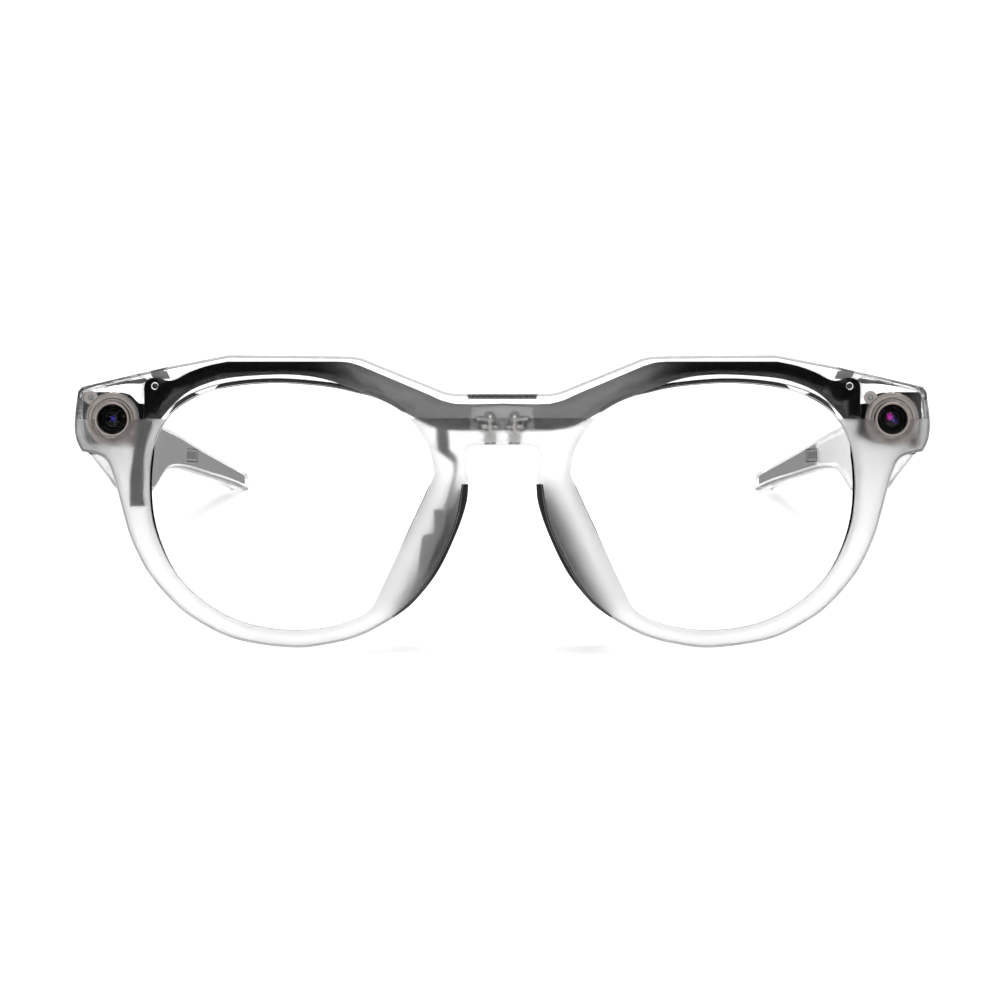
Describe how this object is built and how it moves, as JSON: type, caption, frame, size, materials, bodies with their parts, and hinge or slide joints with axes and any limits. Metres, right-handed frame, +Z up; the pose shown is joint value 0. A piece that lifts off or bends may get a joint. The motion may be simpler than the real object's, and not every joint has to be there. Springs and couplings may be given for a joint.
{
  "type": "smart glasses",
  "caption": "Clear-framed smart glasses with round lenses, a black brow carrier, a camera and a capture light in the front, and folding temples that hold the electronics.",
  "frame": {"origin": "on the surface that the glasses stand on, below the middle of their bounding box", "axes": "+X to the wearer's left, +Y from the front to the ears, +Z up; the glasses stand on both rims and both temple tips, so the front leans back by 11 degrees"},
  "size_m": [0.1494, 0.1528, 0.0507],
  "materials": {
    "clear_frame": "clear moulded plastic, polished at the brow and frosted below it",
    "clear_temple": "clear moulded plastic, polished",
    "lens": "clear, polished, coated",
    "carrier_black": "gloss black",
    "flex_grey": "satin dark grey",
    "plate_steel": "brushed",
    "contact_gold": "plated, satin",
    "nose_silicone": "soft, satin, smoke-dark at its edges",
    "hinge_steel": "satin",
    "screw_steel": "satin",
    "bezel_bronze": "anodised warm grey",
    "dark_window": "black glass, coated",
    "board_black": "matt black",
    "core_grey": "satin mid grey",
    "speaker_black": "matt black",
    "battery_foil": "wrinkled foil",
    "board_green": "solder mask",
    "switch_steel": "satin",
    "control_grey": "satin grey"
  },
  "bodies": {
    "front": {"front_shell": "clear_frame", "rear_shell": "clear_frame", "brow_carrier": "carrier_black", "antenna_flex": "flex_grey", "sensor_flex": "flex_grey", "wear_sensor": "flex_grey", "charging_plate": "plate_steel", "microphone_strip": "carrier_black", "lens_left": "lens", "nose_pad_left": "nose_silicone", "locating_pin_left": "carrier_black", "charging_contact_left": "contact_gold", "hinge_base_left": "hinge_steel", "hinge_screw_left": "screw_steel", "hinge_foot_screw_left": "screw_steel", "lens_right": "lens", "nose_pad_right": "nose_silicone", "locating_pin_right": "carrier_black", "charging_contact_right": "contact_gold", "hinge_base_right": "hinge_steel", "hinge_screw_right": "screw_steel", "hinge_foot_screw_right": "screw_steel", "camera_bezel": "bezel_bronze", "camera_bezel_screw_upper": "screw_steel", "camera_bezel_screw_lower": "screw_steel", "camera_barrel": "bezel_bronze", "camera_window": "dark_window", "camera_board": "board_black", "light_bezel": "bezel_bronze", "light_bezel_screw_upper": "screw_steel", "light_bezel_screw_lower": "screw_steel", "light_barrel": "bezel_bronze", "light_window": "dark_window", "light_board": "board_black"},
    "temple_left": {"hinge_knuckle_left": "hinge_steel", "temple_shell_left": "clear_temple", "temple_cover_left": "clear_temple", "temple_core_left": "core_grey", "temple_tip_core_left": "core_grey", "speaker_left": "speaker_black", "speaker_grille_left": "speaker_black", "battery": "battery_foil"},
    "temple_right": {"hinge_knuckle_right": "hinge_steel", "temple_shell_right": "clear_temple", "temple_cover_right": "clear_temple", "temple_core_right": "core_grey", "temple_tip_core_right": "core_grey", "speaker_right": "speaker_black", "speaker_grille_right": "speaker_black", "main_board": "board_green", "touch_strip": "flex_grey", "button_switch": "switch_steel"},
    "power_slider": {"power_slider": "control_grey"},
    "capture_button": {"capture_button": "control_grey"}
  },
  "joints": [
    {"name": "temple_left_fold", "type": "hinge", "parent": "front", "child": "temple_left", "pos_m": [0.0663, -0.05185, 0.03665], "axis": [0, 0.1906, 0.9817], "range_deg": [-3, 87]},
    {"name": "temple_right_fold", "type": "hinge", "parent": "front", "child": "temple_right", "pos_m": [-0.0663, -0.05185, 0.03665], "axis": [0, -0.1906, -0.9817], "range_deg": [-3, 78]},
    {"name": "power_slider_slide", "type": "slide", "parent": "temple_left", "child": "power_slider", "axis": [0, 0.9817, -0.1906], "range_m": [0, 0.002]},
    {"name": "capture_button_press", "type": "slide", "parent": "temple_right", "child": "capture_button", "axis": [0, -0.1906, -0.9817], "range_m": [0, 0.0004], "stiffness_N_per_m": 500}
  ]
}
